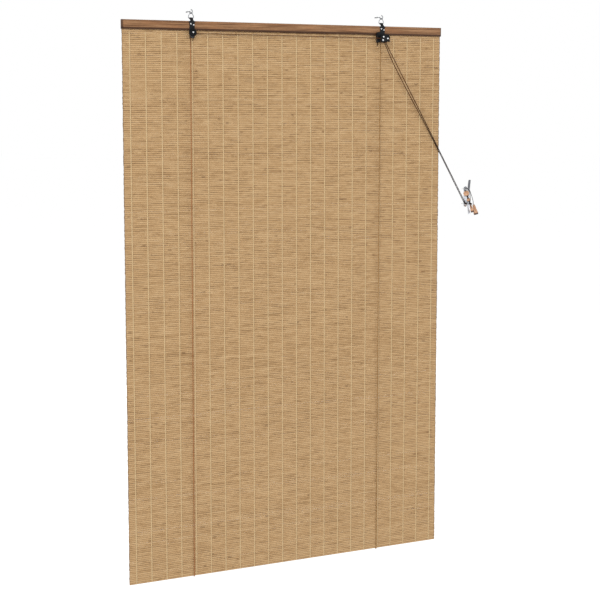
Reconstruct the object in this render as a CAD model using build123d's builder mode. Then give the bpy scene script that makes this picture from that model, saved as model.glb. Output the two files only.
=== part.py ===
from build123d import *
import math
import os

os.makedirs("parts", exist_ok=True)

# A bamboo roll up blind with a cord lock, hung from two screw hooks beside a wall cleat.
# Millimetres. X runs along the rail, +Y runs into the wall, +Z is up.
# The origin lies on the wall face, midway between the two hooks, at the height of their shanks.

# --- blind ---
blind_width = 1000.0
blind_drop = 1600.0
rail_top = -27.5
rail_height = 26.0
mat_y = -18.0
mat_thickness = 2.2
front_batten_thickness = 6.5
back_batten_thickness = 5.0
batten_gap = 0.1
front_batten_round = 2.8
back_batten_round = 1.5

# --- hooks and rings ---
bracket_spacing = 597.0
hook_wire = 2.8
hook_thread_length = 26.0
hook_point_length = 3.0
hook_shank_out = 8.6
hook_bowl_radius = 5.2
hook_bowl_turn = 30.0
hook_corner = 2.2
ring_wire = 2.2
ring_width = 15.0
ring_height = 15.6
ring_corner = 2.4
ring_bar_height = 7.8
ring_shoulder = 5.4
ring_top_width = 5.2

# --- brackets ---
sheet = 1.2
knuckle_width = 9.4
knuckle_clearance = 0.08
shoulder_width = 20.5
body_width = 15.0
bracket_screw_spots = ((-3.7, -7.7), (4.7, -11.0))
screw_radius = 1.2
screw_head_radius = 2.1
screw_head_height = 1.3
recess_length = 2.6
recess_width = 0.62
recess_depth = 0.8
bracket_screw_length = 11.0
hole_clearance = 0.05

# --- pulley housings, places measured from the ring's middle and the rail top ---
cord = 2.2
wheel_pitch = 5.2
wheel_width = 3.8
wheel_gap = 0.3
groove_clearance = 0.25
axle_radius = 1.5
axle_clearance = 0.06
axle_head_radius = 2.4
axle_head_height = 0.9
rivet_radius = 1.2
rivet_shoulder = 2.2
rivet_head_radius = 2.5
rivet_head_height = 1.5
left_axle = (-0.6, -40.4)
left_rivet_off = (2.1, 0.5)
left_disc = (1.5, -32.5)
left_disc_radius = 10.5
right_axle = (-2.8, -40.9)
right_rivet_off = (1.8, 1.0)
pawl_pivot = (13.0, -36.0)
left_foot = -47.2
right_foot = -48.2
left_end_x = 4.0
right_end_x = -13.5
tab_width = 6.4
cord_hole_radius = 1.5

# --- cleat ---
cleat_gap = 106.5
cleat_drop = 517.0
cleat_length = 107.5
cleat_width = 7.0
cleat_neck = 38.0
cleat_base_length = 64.0
cleat_base_width = 10.5
cleat_leg = 8.0
cleat_base = 3.0
cleat_screw_spacing = 46.0
cleat_screw_length = 24.0
cleat_screw_radius = 1.6
cleat_thread_radius = 1.5
cleat_screw_point = 3.0
horn_y = -20.0
horn_tip_y = -27.0
horn_depth = 6.0

# --- beads and tassels ---
ball_radius = 9.3
bead_radius = 6.2
bead_clearance = 0.38
tail_cord = 1.8
big_tassel_length = 32.0
big_tassel_width = 14.5
small_tassel_length = 25.0
small_tassel_width = 9.8

# --- worked out ---
rail_bottom = rail_top - rail_height
mat_bottom = rail_top - blind_drop
mat_front = mat_y - mat_thickness / 2
mat_back = mat_y + mat_thickness / 2
batten_front = mat_front - batten_gap - front_batten_thickness
batten_back = mat_back + batten_gap + back_batten_thickness
plate_back = batten_front
plate_front = plate_back - sheet
rear_wheel_y = plate_front - wheel_gap - wheel_width / 2
front_wheel_y = rear_wheel_y - wheel_width - wheel_gap
left_cheek_back = rear_wheel_y - wheel_width / 2 - wheel_gap
right_cheek_back = front_wheel_y - wheel_width / 2 - wheel_gap
left_x = -bracket_spacing / 2
right_x = bracket_spacing / 2
cord_radius = cord / 2
wheel_rim = wheel_pitch + cord_radius + 0.2
rivet_lift = wheel_rim + rivet_shoulder
left_rivet = (left_axle[0] + left_rivet_off[0], left_axle[1] + rivet_lift + left_rivet_off[1])
right_rivet = (right_axle[0] + right_rivet_off[0], right_axle[1] + rivet_lift + right_rivet_off[1])
bar_z = rail_top + ring_bar_height
ring_apex_z = bar_z + ring_height
bowl_bottom_z = ring_apex_z - (hook_wire + ring_wire) / 2
cleat_x = blind_width / 2 + cleat_gap
cleat_z = rail_top - cleat_drop


def finish(made, name):
    made.part.label = name
    export_step(made.part, "parts/" + name + ".step")
    print(name, "solids", len(made.part.solids()), "volume", round(made.part.volume, 1))


def facing(y):
    """A sketch plane at depth y that faces the room, with local x along X and local y along Z."""
    return Plane(origin=(0, y, 0), x_dir=(1, 0, 0), z_dir=(0, -1, 0))


def at(x, spot):
    """A point of a bracket, given from the ring's middle and the rail top, in a facing sketch."""
    return (x + spot[0], rail_top + spot[1])


# --- battens, mat and the screws that clamp them ---
clamp_screw_spots = [
    (-blind_width * 0.45, rail_top - rail_height / 2),
    (-blind_width * 0.15, rail_top - rail_height / 2),
    (blind_width * 0.15, rail_top - rail_height / 2),
    (blind_width * 0.45, rail_top - rail_height / 2),
]
bracket_screws = [at(left_x, spot) for spot in bracket_screw_spots]
bracket_screws += [at(right_x, spot) for spot in bracket_screw_spots]
clamp_screw_length = back_batten_thickness + mat_thickness + 0.7 * front_batten_thickness
clamp_screw_tip = batten_back - clamp_screw_length
bracket_screw_tip = plate_front + bracket_screw_length
left_pass_z = rail_top + left_foot - 6.4
right_pass_z = rail_top + right_foot - 10.0
pass_slot = (cord + 1.8, cord + 2.4)

with BuildPart() as front_batten:
    with BuildSketch(facing(mat_front - batten_gap)):
        with Locations((0, rail_top - rail_height / 2)):
            Rectangle(blind_width, rail_height)
    extrude(amount=front_batten_thickness)
    front_edges = front_batten.faces().sort_by(Axis.Y)[0].edges()
    fillet(front_edges, front_batten_round)
    with BuildSketch(facing(mat_front)):
        with Locations(*bracket_screws):
            Circle(screw_radius + hole_clearance)
    extrude(amount=front_batten_thickness + 1, mode=Mode.SUBTRACT)
    with BuildSketch(facing(mat_front)):
        with Locations(*clamp_screw_spots):
            Circle(screw_radius + hole_clearance)
    extrude(amount=mat_front - clamp_screw_tip + 0.3, mode=Mode.SUBTRACT)
finish(front_batten, "front_batten")

with BuildPart() as back_batten:
    with BuildSketch(facing(batten_back)):
        with Locations((0, rail_top - rail_height / 2)):
            Rectangle(blind_width, rail_height)
    extrude(amount=back_batten_thickness)
    back_edges = back_batten.faces().sort_by(Axis.Y)[-1].edges()
    fillet(back_edges, back_batten_round)
    with BuildSketch(facing(batten_back + 1)):
        with Locations(*clamp_screw_spots):
            Circle(screw_radius + hole_clearance)
    extrude(amount=back_batten_thickness + 2, mode=Mode.SUBTRACT)
    with BuildSketch(facing(bracket_screw_tip + 0.3)):
        with Locations(*bracket_screws):
            Circle(screw_radius + hole_clearance)
    extrude(amount=back_batten_thickness + 4, mode=Mode.SUBTRACT)
finish(back_batten, "back_batten")

with BuildPart() as bamboo_mat:
    with BuildSketch(facing(mat_back)):
        with Locations((0, rail_top - blind_drop / 2)):
            Rectangle(blind_width, blind_drop)
        with Locations(*bracket_screws, *clamp_screw_spots):
            Circle(screw_radius + hole_clearance, mode=Mode.SUBTRACT)
        with Locations((left_x + left_end_x, left_pass_z), (right_x + right_end_x, right_pass_z)):
            Rectangle(*pass_slot, mode=Mode.SUBTRACT)
    extrude(amount=mat_thickness)
finish(bamboo_mat, "bamboo_mat")

with BuildPart() as batten_screws:
    with BuildSketch(facing(batten_back + screw_head_height * 0.5)):
        with Locations(*clamp_screw_spots):
            Circle(screw_head_radius)
    extrude(amount=screw_head_height * 0.5)
    with BuildSketch(facing(batten_back)):
        with Locations(*clamp_screw_spots):
            Circle(screw_radius)
    extrude(amount=clamp_screw_length)
finish(batten_screws, "batten_screws")


def bracket_screw_pair(name, x):
    spots = [at(x, spot) for spot in bracket_screw_spots]
    with BuildPart() as screws:
        with BuildSketch(facing(plate_front)):
            with Locations(*spots):
                Circle(screw_head_radius)
        extrude(amount=screw_head_height)
        rims = screws.faces().filter_by(Axis.Y).sort_by(Axis.Y)[:2].edges()
        fillet(rims, screw_head_height * 0.8)
        with BuildSketch(facing(bracket_screw_tip)):
            with Locations(*spots):
                Circle(screw_radius)
        extrude(amount=bracket_screw_length)
        with BuildSketch(facing(plate_front - screw_head_height + recess_depth)):
            with Locations(*spots):
                Rectangle(recess_length, recess_width)
                Rectangle(recess_width, recess_length)
        extrude(amount=recess_depth, mode=Mode.SUBTRACT)
    finish(screws, name)


bracket_screw_pair("left_bracket_screws", left_x)
bracket_screw_pair("right_bracket_screws", right_x)

# --- brackets: one folded sheet each, from the rolled knuckle down to the tab for the cord ---
knuckle_hole = ring_wire / 2 + knuckle_clearance
knuckle_radius = knuckle_hole + sheet
shoulders = [
    (-body_width / 2, -4.4),
    (-shoulder_width / 2 + 0.8, -3.4),
    (-shoulder_width / 2, -1.6),
    (-knuckle_width / 2, 1.0),
    (knuckle_width / 2, 1.0),
    (shoulder_width / 2, -1.6),
    (shoulder_width / 2 - 0.8, -3.4),
    (body_width / 2, -4.4),
]


def bracket(name, x, lower_outline, holes, foot, tab_x, fingers, finger_x, discs):
    """The back plate, neck, knuckle, cord tab and side fingers of one bracket."""
    with BuildPart() as plate:
        with BuildSketch(facing(plate_back)):
            with BuildLine():
                Polyline(*[at(x, spot) for spot in shoulders + lower_outline], close=True)
            make_face()
            for spot, radius in discs:
                with Locations(at(x, spot)):
                    Circle(radius)
            with Locations(*[at(x, spot) for spot in bracket_screw_spots]):
                Circle(screw_radius + hole_clearance, mode=Mode.SUBTRACT)
            for spot, radius in holes:
                with Locations(at(x, spot)):
                    Circle(radius + hole_clearance, mode=Mode.SUBTRACT)
        extrude(amount=sheet)
        neck_foot = rail_top + 1.0
        with BuildSketch(Plane.YZ.offset(x - knuckle_width / 2)):
            with BuildLine():
                Polyline(
                    (plate_front, neck_foot - 1.5),
                    (plate_front, neck_foot + 0.4),
                    (mat_y - knuckle_radius, bar_z - 1.0),
                    (mat_y - knuckle_radius, bar_z),
                    (mat_y - knuckle_hole, bar_z),
                    (mat_y - knuckle_hole, bar_z - 1.6),
                    (plate_back, neck_foot - 0.2),
                    (plate_back, neck_foot - 1.5),
                    close=True,
                )
            make_face()
        extrude(amount=knuckle_width)
        with BuildSketch(Plane.YZ.offset(x - knuckle_width / 2)):
            with Locations((mat_y, bar_z)):
                Circle(knuckle_radius)
        extrude(amount=knuckle_width)
        with BuildSketch(Plane.YZ.offset(x - knuckle_width / 2 - 1)):
            with Locations((mat_y, bar_z)):
                Circle(knuckle_hole)
        extrude(amount=knuckle_width + 2, mode=Mode.SUBTRACT)
        with BuildSketch(facing(plate_front + 0.001)):
            with Locations((x + tab_x, rail_top + foot + sheet / 2)):
                Rectangle(tab_width, sheet)
        extrude(amount=-(mat_front - 1.0 - plate_front))
        with BuildSketch(Plane.XY.offset(rail_top + foot - 1)):
            with Locations((x + tab_x, (mat_front + plate_back) / 2)):
                Circle(cord_hole_radius)
        extrude(amount=sheet + 2, mode=Mode.SUBTRACT)
        for low, high in fingers:
            with BuildSketch(facing(plate_back)):
                with Locations((x + finger_x, rail_top + (low + high) / 2)):
                    Rectangle(sheet, high - low)
            extrude(amount=plate_back - right_cheek_back)
    finish(plate, name)


right_plate_left = -20.4
right_plate_right = 22.0
left_outline = [
    (body_width / 2, left_foot),
    (-body_width / 2, left_foot),
]
right_outline = [
    (body_width / 2, -23.5),
    (right_plate_right - 5.0, -25.0),
    (right_plate_right, -31.0),
    (right_plate_right, right_foot + 6.0),
    (right_plate_right - 9.0, right_foot),
    (right_plate_left, right_foot),
    (right_plate_left, -19.0),
    (-body_width / 2, -17.0),
]
left_holes = [(left_axle, axle_radius), (left_rivet, rivet_radius)]
right_holes = [(right_axle, axle_radius), (right_rivet, rivet_radius), (pawl_pivot, axle_radius)]
transfer_top = right_axle[1] + wheel_pitch + cord_radius
right_fingers = [(-25.0, -19.0), (transfer_top + 0.6, -28.5), (right_foot, -39.0)]
bracket(
    "left_bracket",
    left_x,
    left_outline,
    left_holes,
    left_foot,
    left_end_x,
    fingers=[],
    finger_x=0,
    discs=[(left_disc, left_disc_radius)],
)
bracket(
    "right_bracket",
    right_x,
    right_outline,
    right_holes,
    right_foot,
    right_end_x,
    fingers=right_fingers,
    finger_x=right_plate_left + sheet / 2,
    discs=[],
)

# --- front cheeks ---
with BuildPart() as left_cheek:
    with BuildSketch(facing(left_cheek_back)):
        with Locations(at(left_x, left_disc)):
            Circle(left_disc_radius)
        for spot, radius in left_holes:
            with Locations(at(left_x, spot)):
                Circle(radius + hole_clearance, mode=Mode.SUBTRACT)
    extrude(amount=sheet)
    fillet(left_cheek.faces().sort_by(Axis.Y)[0].outer_wire().edges(), sheet * 0.6)
finish(left_cheek, "left_cheek")

with BuildPart() as right_cheek:
    with BuildSketch(facing(right_cheek_back)):
        with BuildLine():
            FilletPolyline(
                at(right_x, (-9.5, -27.5)),
                at(right_x, (6.0, -24.0)),
                at(right_x, (17.5, -25.5)),
                at(right_x, (21.5, -33.0)),
                at(right_x, (17.0, -42.5)),
                at(right_x, (3.0, right_foot + 1.2)),
                at(right_x, (-9.5, right_foot + 1.2)),
                radius=3.6,
                close=True,
            )
        make_face()
        for spot, radius in right_holes:
            with Locations(at(right_x, spot)):
                Circle(radius + hole_clearance, mode=Mode.SUBTRACT)
    extrude(amount=sheet)
    fillet(right_cheek.faces().sort_by(Axis.Y)[0].outer_wire().edges(), sheet * 0.6)
finish(right_cheek, "right_cheek")


# --- axles and shouldered rivets between the cheeks ---
def axle(name, x, spot, cheek_front):
    """A plain pin through the back plate and the cheek, with a head on each."""
    with BuildPart() as pin:
        with BuildSketch(facing(plate_back)):
            with Locations(at(x, spot)):
                Circle(axle_radius)
        extrude(amount=plate_back - cheek_front)
        with BuildSketch(facing(cheek_front)):
            with Locations(at(x, spot)):
                Circle(axle_head_radius)
        extrude(amount=axle_head_height)
        with BuildSketch(facing(plate_back + axle_head_height)):
            with Locations(at(x, spot)):
                Circle(axle_head_radius)
        extrude(amount=axle_head_height)
        fillet(pin.faces().sort_by(Axis.Y)[0].edges(), axle_head_height * 0.7)
    finish(pin, name)


def shouldered_rivet(name, x, spot, cheek_back):
    """A rivet whose thick middle keeps the cheek apart from the back plate."""
    with BuildPart() as rivet:
        with BuildSketch(facing(plate_back)):
            with Locations(at(x, spot)):
                Circle(rivet_radius)
        extrude(amount=plate_back - cheek_back + sheet)
        with BuildSketch(facing(plate_front)):
            with Locations(at(x, spot)):
                Circle(rivet_shoulder)
        extrude(amount=plate_front - cheek_back)
        with BuildSketch(facing(cheek_back - sheet)):
            with Locations(at(x, spot)):
                Circle(rivet_head_radius)
        extrude(amount=rivet_head_height)
        with BuildSketch(facing(plate_back + axle_head_height)):
            with Locations(at(x, spot)):
                Circle(rivet_shoulder)
        extrude(amount=axle_head_height)
        fillet(rivet.faces().sort_by(Axis.Y)[0].edges(), rivet_head_height * 0.8)
    finish(rivet, name)


axle("left_axle", left_x, left_axle, left_cheek_back - sheet)
axle("right_axle", right_x, right_axle, right_cheek_back - sheet)
axle("pawl_pin", right_x, pawl_pivot, right_cheek_back - sheet)
shouldered_rivet("left_rivet", left_x, left_rivet, left_cheek_back)
shouldered_rivet("right_rivet", right_x, right_rivet, right_cheek_back)


# --- grooved wheels ---
def wheel(name, x, spot, y):
    groove = cord_radius + groove_clearance
    centre = at(x, spot)
    with BuildPart() as sheave:
        with BuildSketch(facing(y + wheel_width / 2)):
            with Locations(centre):
                Circle(wheel_rim)
                Circle(axle_radius + axle_clearance, mode=Mode.SUBTRACT)
        extrude(amount=wheel_width)
        profile_plane = Plane(origin=(centre[0], y, centre[1]), x_dir=(1, 0, 0), z_dir=(0, 0, 1))
        with BuildSketch(profile_plane):
            with Locations((wheel_pitch, 0)):
                Circle(groove)
            with Locations((wheel_pitch + 1.5, 0)):
                Rectangle(3.0, 2 * groove)
        revolve(axis=Axis((centre[0], y, centre[1]), (0, 1, 0)), mode=Mode.SUBTRACT)
    finish(sheave, name)


wheel("left_wheel", left_x, left_axle, rear_wheel_y)
wheel("right_rear_wheel", right_x, right_axle, rear_wheel_y)
wheel("right_front_wheel", right_x, right_axle, front_wheel_y)

# --- lock pawl: it turns on its pin, and its teeth press the cords when the blind is held up ---
taut_angle = 31.3
slack_angle = 24.0
taut_normal = (math.cos(math.radians(taut_angle)), math.sin(math.radians(taut_angle)))
reach = (pawl_pivot[0] - right_axle[0]) * taut_normal[0]
reach += (pawl_pivot[1] - right_axle[1]) * taut_normal[1] - wheel_pitch - cord_radius - 0.5
pawl_depth = plate_front - right_cheek_back - 2 * wheel_gap
pawl_tooth = 1.1
pawl_hub = 3.8

with BuildPart() as lock_pawl:
    along = (taut_normal[1], -taut_normal[0])

    def nose(out, down):
        """A point of the pawl: out towards the cords, down along them."""
        local_x = pawl_pivot[0] - out * taut_normal[0] + down * along[0]
        local_z = pawl_pivot[1] - out * taut_normal[1] + down * along[1]
        return at(right_x, (local_x, local_z))

    with BuildSketch(facing(plate_front - wheel_gap)):
        with Locations(at(right_x, pawl_pivot)):
            Circle(pawl_hub)
        with BuildLine():
            Polyline(
                nose(0, -3.4),
                nose(reach, -2.6),
                nose(reach - pawl_tooth, -1.4),
                nose(reach, -0.6),
                nose(reach - pawl_tooth, 0.6),
                nose(reach, 1.4),
                nose(reach - pawl_tooth, 2.6),
                nose(reach, 3.4),
                nose(1.5, 5.2),
                nose(-1.0, 12.4),
                nose(-3.6, 11.6),
                nose(-3.4, 1.0),
                close=True,
            )
        make_face()
        with Locations(at(right_x, pawl_pivot)):
            Circle(axle_radius + axle_clearance, mode=Mode.SUBTRACT)
    extrude(amount=pawl_depth)
finish(lock_pawl, "lock_pawl")


# --- hooks and rings ---
def screw_hook(name, x):
    """A screw hook: a pointed shank along Y and an open bowl turned a little on its shank."""
    bowl = (x, mat_y, bowl_bottom_z + hook_bowl_radius)
    turn = math.radians(hook_bowl_turn)
    corner_share = 1.08

    def rim(angle):
        """A corner of the bowl's run, outside its curve; 0 faces the room and 90 is its top."""
        out = hook_bowl_radius * corner_share * math.cos(math.radians(angle))
        rise = hook_bowl_radius * corner_share * math.sin(math.radians(angle))
        return (bowl[0] + out * math.sin(turn), bowl[1] - out * math.cos(turn), bowl[2] + rise)

    with BuildPart() as hook:
        with BuildLine() as wire:
            FilletPolyline(
                (x, hook_thread_length - hook_point_length, 0),
                (x, mat_y + hook_shank_out, 0),
                rim(-132),
                rim(-90),
                rim(-45),
                rim(0),
                rim(45),
                rim(84),
                radius=[hook_corner, hook_corner, 3.6, 4.6, 4.6, 4.6],
            )
        with BuildSketch(Plane(origin=wire.line @ 0, z_dir=wire.line % 0)):
            Circle(hook_wire / 2)
        sweep()
        with BuildSketch(Plane.XZ.offset(hook_point_length - hook_thread_length)):
            with Locations((x, 0)):
                Circle(hook_wire / 2)
        extrude(amount=-hook_point_length, taper=22)
    finish(hook, name)


def bowl_ring(name, x):
    """A triangular wire ring: its straight bar turns in the knuckle, its top sits in the hook."""
    half = ring_width / 2
    top_half = ring_top_width / 2
    one_side = [ring_corner, ring_corner * 1.3, ring_corner]
    with BuildPart() as ring:
        with BuildLine(facing(mat_y)) as wire:
            FilletPolyline(
                (x + half, bar_z),
                (x + half, bar_z + ring_shoulder),
                (x + top_half, ring_apex_z),
                (x - top_half, ring_apex_z),
                (x - half, bar_z + ring_shoulder),
                (x - half, bar_z),
                radius=one_side + one_side,
                close=True,
            )
        loop = wire.wire()
        with BuildSketch(Plane(origin=loop @ 0, z_dir=loop % 0)):
            Circle(ring_wire / 2)
        sweep(path=loop)
    finish(ring, name)


screw_hook("left_hook", left_x)
screw_hook("right_hook", right_x)
bowl_ring("left_ring", left_x)
bowl_ring("right_ring", right_x)


# --- wall cleat ---
neck_front = horn_y + horn_depth / 2
cleat_screw_spots = [
    (cleat_x, cleat_z + cleat_screw_spacing / 2),
    (cleat_x, cleat_z - cleat_screw_spacing / 2),
]
high = cleat_z + cleat_length / 2
low = cleat_z - cleat_length / 2
front_high = (horn_tip_y - 1.6, high - 1.0)
front_middle = (horn_y - horn_depth / 2, cleat_z)
front_low = (horn_tip_y - 1.6, low + 1.0)
rear_high = (horn_tip_y + 2.2, high)
rear_middle = (neck_front, cleat_z)
rear_low = (horn_tip_y + 2.2, low)
horn_round = 1.5
neck_sunk = 0.8
with BuildPart() as cleat:
    with BuildSketch(Plane.YZ.offset(cleat_x - cleat_width / 2)):
        with BuildLine():
            ThreePointArc(front_high, front_middle, front_low)
            Line(front_low, rear_low)
            ThreePointArc(rear_low, rear_middle, rear_high)
            Line(rear_high, front_high)
        make_face()
    extrude(amount=cleat_width)
    fillet(cleat.edges(), horn_round)
    with BuildSketch(facing(-cleat_base / 2)):
        with Locations((cleat_x, cleat_z)):
            RectangleRounded(cleat_width - 1.0, cleat_neck, 2.5)
            Rectangle(cleat_width, cleat_neck - 2 * cleat_leg, mode=Mode.SUBTRACT)
    extrude(amount=-cleat_base / 2 - neck_front + neck_sunk)
    with BuildSketch(facing(0)):
        with Locations((cleat_x, cleat_z)):
            SlotOverall(cleat_base_length, cleat_base_width, rotation=90)
        with Locations(*cleat_screw_spots):
            Circle(cleat_screw_radius + hole_clearance, mode=Mode.SUBTRACT)
    extrude(amount=cleat_base)
finish(cleat, "cleat")

with BuildPart() as cleat_screws:
    with BuildSketch(facing(-cleat_base)):
        with Locations(*cleat_screw_spots):
            Circle(cleat_screw_radius + 1.3)
    extrude(amount=screw_head_height)
    head_rims = cleat_screws.faces().filter_by(Axis.Y).sort_by(Axis.Y)[:2].edges()
    fillet(head_rims, screw_head_height * 0.7)
    with BuildSketch(facing(0)):
        with Locations(*cleat_screw_spots):
            Circle(cleat_screw_radius)
    extrude(amount=cleat_base)
    thread_length = cleat_screw_length - cleat_base - cleat_screw_point
    with BuildSketch(facing(thread_length)):
        with Locations(*cleat_screw_spots):
            Circle(cleat_thread_radius)
    extrude(amount=thread_length)
    with BuildSketch(facing(thread_length)):
        with Locations(*cleat_screw_spots):
            Circle(cleat_thread_radius)
    extrude(amount=-cleat_screw_point, taper=22)
    with BuildSketch(facing(recess_depth - cleat_base - screw_head_height)):
        with Locations(*cleat_screw_spots):
            Rectangle(recess_length, recess_width)
            Rectangle(recess_width, recess_length)
    extrude(amount=recess_depth, mode=Mode.SUBTRACT)
finish(cleat_screws, "cleat_screws")

# --- cords ---
def radii(points, share=0.45):
    """Each corner's radius: a share of its shorter run over the tangent of half the turn."""
    found = []
    for before, corner, after in zip(points, points[1:], points[2:]):
        first = Vector(*corner) - Vector(*before)
        second = Vector(*after) - Vector(*corner)
        turn = math.radians(first.get_angle(second))
        found.append(share * min(first.length, second.length) / math.tan(turn / 2))
    return found


def cord_tube(name, points, diameter, bends):
    """A cord along straight runs and tangent arcs, one radius for each corner."""
    with BuildPart() as tube:
        with BuildLine() as route:
            FilletPolyline(*points, radius=bends)
        line = route.wire()
        with BuildSketch(Plane(origin=line @ 0, z_dir=line % 0)):
            Circle(diameter / 2)
        sweep(path=line)
    finish(tube, name)
    expected = math.pi * (diameter / 2) ** 2 * line.length
    print("  length", round(line.length, 1), "volume share", round(tube.part.volume / expected, 4))
    print("  radii", [round(bend, 1) for bend in bends])


cord_back_y = mat_back + 0.5 + cord_radius
cord_front_y = mat_front - 0.5 - cord_radius
under = mat_bottom - 1.1 - cord_radius
under_bend = (cord_back_y - cord_front_y) / 2 - 0.02
tab_y = (mat_front + plate_back) / 2
pass_bend = (cord_back_y - tab_y) * 0.44
wheel_bend = wheel_pitch - 0.01


def lift_start(x, end_x, foot, pass_z):
    """From the knot on the tab, down, back through the mat and down to its bottom edge."""
    return [
        (x + end_x, tab_y, rail_top + foot + sheet),
        (x + end_x, tab_y, pass_z),
        (x + end_x, cord_back_y, pass_z),
    ]


def cord_off_wheel(angle, y, distance):
    """A point on the cord that leaves the right wheels at an angle from straight down."""
    turn = math.radians(angle)
    axle_x, axle_z = at(right_x, right_axle)
    tangent = (axle_x + wheel_pitch * math.cos(turn), axle_z + wheel_pitch * math.sin(turn))
    return (tangent[0] + distance * math.sin(turn), y, tangent[1] - distance * math.cos(turn))


housing_run = 13.0
body_gap = 0.3
taut_exit = cord_off_wheel(taut_angle, front_wheel_y, housing_run)
slack_exit = cord_off_wheel(slack_angle, rear_wheel_y, housing_run)
left_axle_x, left_axle_z = at(left_x, left_axle)
right_axle_x, right_axle_z = at(right_x, right_axle)
right_top = right_axle_z + wheel_pitch
taut_corner = right_axle_x + wheel_pitch * math.tan(math.radians(90 - taut_angle) / 2)
slack_corner = right_axle_x + wheel_pitch * math.tan(math.radians(90 - slack_angle) / 2)

left_lift = lift_start(left_x, left_end_x, left_foot, left_pass_z)
left_lift += [
    (left_axle_x - wheel_pitch + 0.5, cord_back_y, under),
    (left_axle_x - wheel_pitch + 0.5, cord_front_y, under),
    (left_axle_x - wheel_pitch, rear_wheel_y, left_axle_z + wheel_pitch),
    (taut_corner, front_wheel_y, right_top),
    taut_exit,
]
left_bends = [pass_bend, pass_bend, under_bend, under_bend, wheel_bend, wheel_bend]
cord_tube("left_lift_cord", left_lift, cord, left_bends)

right_lift = lift_start(right_x, right_end_x, right_foot, right_pass_z)
right_lift += [
    (right_axle_x - wheel_pitch + 1.5, cord_back_y, under),
    (right_axle_x - wheel_pitch + 1.5, cord_front_y, under),
    (right_axle_x - wheel_pitch, rear_wheel_y, right_top),
    (slack_corner, rear_wheel_y, right_top),
    slack_exit,
]
right_bends = left_bends[:4] + [wheel_bend, wheel_bend]
cord_tube("right_lift_cord", right_lift, cord, right_bends)


# --- knots above the bracket tabs ---
def knot(name, x, end_x, foot):
    with BuildPart() as lump:
        with BuildSketch(Plane.XY.offset(rail_top + foot + sheet)):
            with Locations((x + end_x, tab_y)):
                Circle(2.0)
        extrude(amount=4.0)
        fillet(lump.edges(), 1.3)
    finish(lump, name)


knot("left_knot", left_x, left_end_x, left_foot)
knot("right_knot", right_x, right_end_x, right_foot)


# --- pull cords: side by side from the lock to the cleat, round its neck, then into bead and ball ---
def by_cleat(out, depth, rise):
    """A point given from the cleat's middle: out along X, its depth, and its height."""
    return (cleat_x + out, depth, cleat_z + rise)


bead_centre = Vector(*by_cleat(-5.0, -30.2, -8.6))
ball_centre = Vector(*by_cleat(-13.4, -30.2, 11.5))
thread_way = (ball_centre - bead_centre).normalized()
bead_mouth = bead_centre - thread_way * (bead_radius + 1.2)
pair = cord_radius + 0.12
bead_bore = 2 * (pair + cord_radius + bead_clearance)
side = Vector(thread_way.Z, 0, -thread_way.X) * pair
pull_end = ball_centre - thread_way * ball_radius * 0.6


def both_ends(sign):
    """The last points of one pull cord: into the bead's mouth and up into the ball."""
    return [tuple(bead_mouth + side * sign), tuple(pull_end + side * sign)]


# The pull cords lean on nothing until the cleat, and pass just in front of the mat's side edge.
pull_corner = (cleat_x - 12.5, cleat_z - 14.0)
edge_depth = mat_front - cord_radius - 1.2
edge_share = (blind_width / 2 - taut_exit[0]) / (pull_corner[0] - taut_exit[0])


def on_the_way(share, depth, aside):
    """A point between lock and cleat, by its share of the way to the mat's edge, depth and aside."""
    far = share * edge_share
    run_x = pull_corner[0] - taut_exit[0]
    run_z = pull_corner[1] - taut_exit[2]
    return (taut_exit[0] + run_x * far + aside, depth, taut_exit[2] + run_z * far)


taut_pull = [
    cord_off_wheel(taut_angle, front_wheel_y, housing_run + body_gap),
    on_the_way(1, edge_depth, pair),
    by_cleat(-12.5 + pair, -15.0, -14.0 + pair),
    by_cleat(-6.0, -8.8, -21.5 + pair),
    by_cleat(6.5, -8.8, -23.0 + pair),
    by_cleat(12.8, -15.0, -22.6 + pair),
    by_cleat(11.0, -25.0, -22.2 + pair),
    by_cleat(3.4, -30.0, -21.0 + pair),
] + both_ends(1)
slack_pull = [
    cord_off_wheel(slack_angle, rear_wheel_y, housing_run + body_gap),
    on_the_way(0.13, -28.6, -7.2),
    on_the_way(0.27, -27.6, -7.8),
    on_the_way(0.46, -26.4, -7.0),
    on_the_way(0.65, -25.4, -4.8),
    on_the_way(0.82, -24.0, -2.8),
    on_the_way(1, edge_depth, -1.9),
    by_cleat(-12.5 - pair, -15.0, -14.0 - pair),
    by_cleat(-6.0, -8.8, -21.5 - pair),
    by_cleat(6.5, -8.8, -23.0 - pair),
    by_cleat(12.8, -15.0, -22.6 - pair),
    by_cleat(11.0, -25.0, -22.2 - pair),
    by_cleat(3.4 - 2.0, -30.0, -21.0 - pair),
] + both_ends(-1)
cord_tube("taut_pull_cord", taut_pull, cord, radii(taut_pull))
cord_tube("slack_pull_cord", slack_pull, cord, radii(slack_pull))


# --- turned wood: the bead, the ball and the two tassels ---
def turning_plane(origin, way):
    """A sketch plane whose local y is the turning axis."""
    across = Vector(way.Z, 0, -way.X).normalized()
    return Plane(origin=origin, x_dir=across, z_dir=across.cross(way))


def turned_ball(name, centre, radius):
    with BuildPart() as ball:
        with BuildSketch(turning_plane(centre, thread_way)):
            Circle(radius)
            with Locations((bead_bore / 2, 0)):
                Rectangle(4 * radius, 4 * radius, align=(Align.MAX, Align.CENTER), mode=Mode.SUBTRACT)
        revolve(axis=Axis(centre, thread_way))
    finish(ball, name)


turned_ball("lower_bead", bead_centre, bead_radius)
turned_ball("upper_ball", ball_centre, ball_radius)


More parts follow.
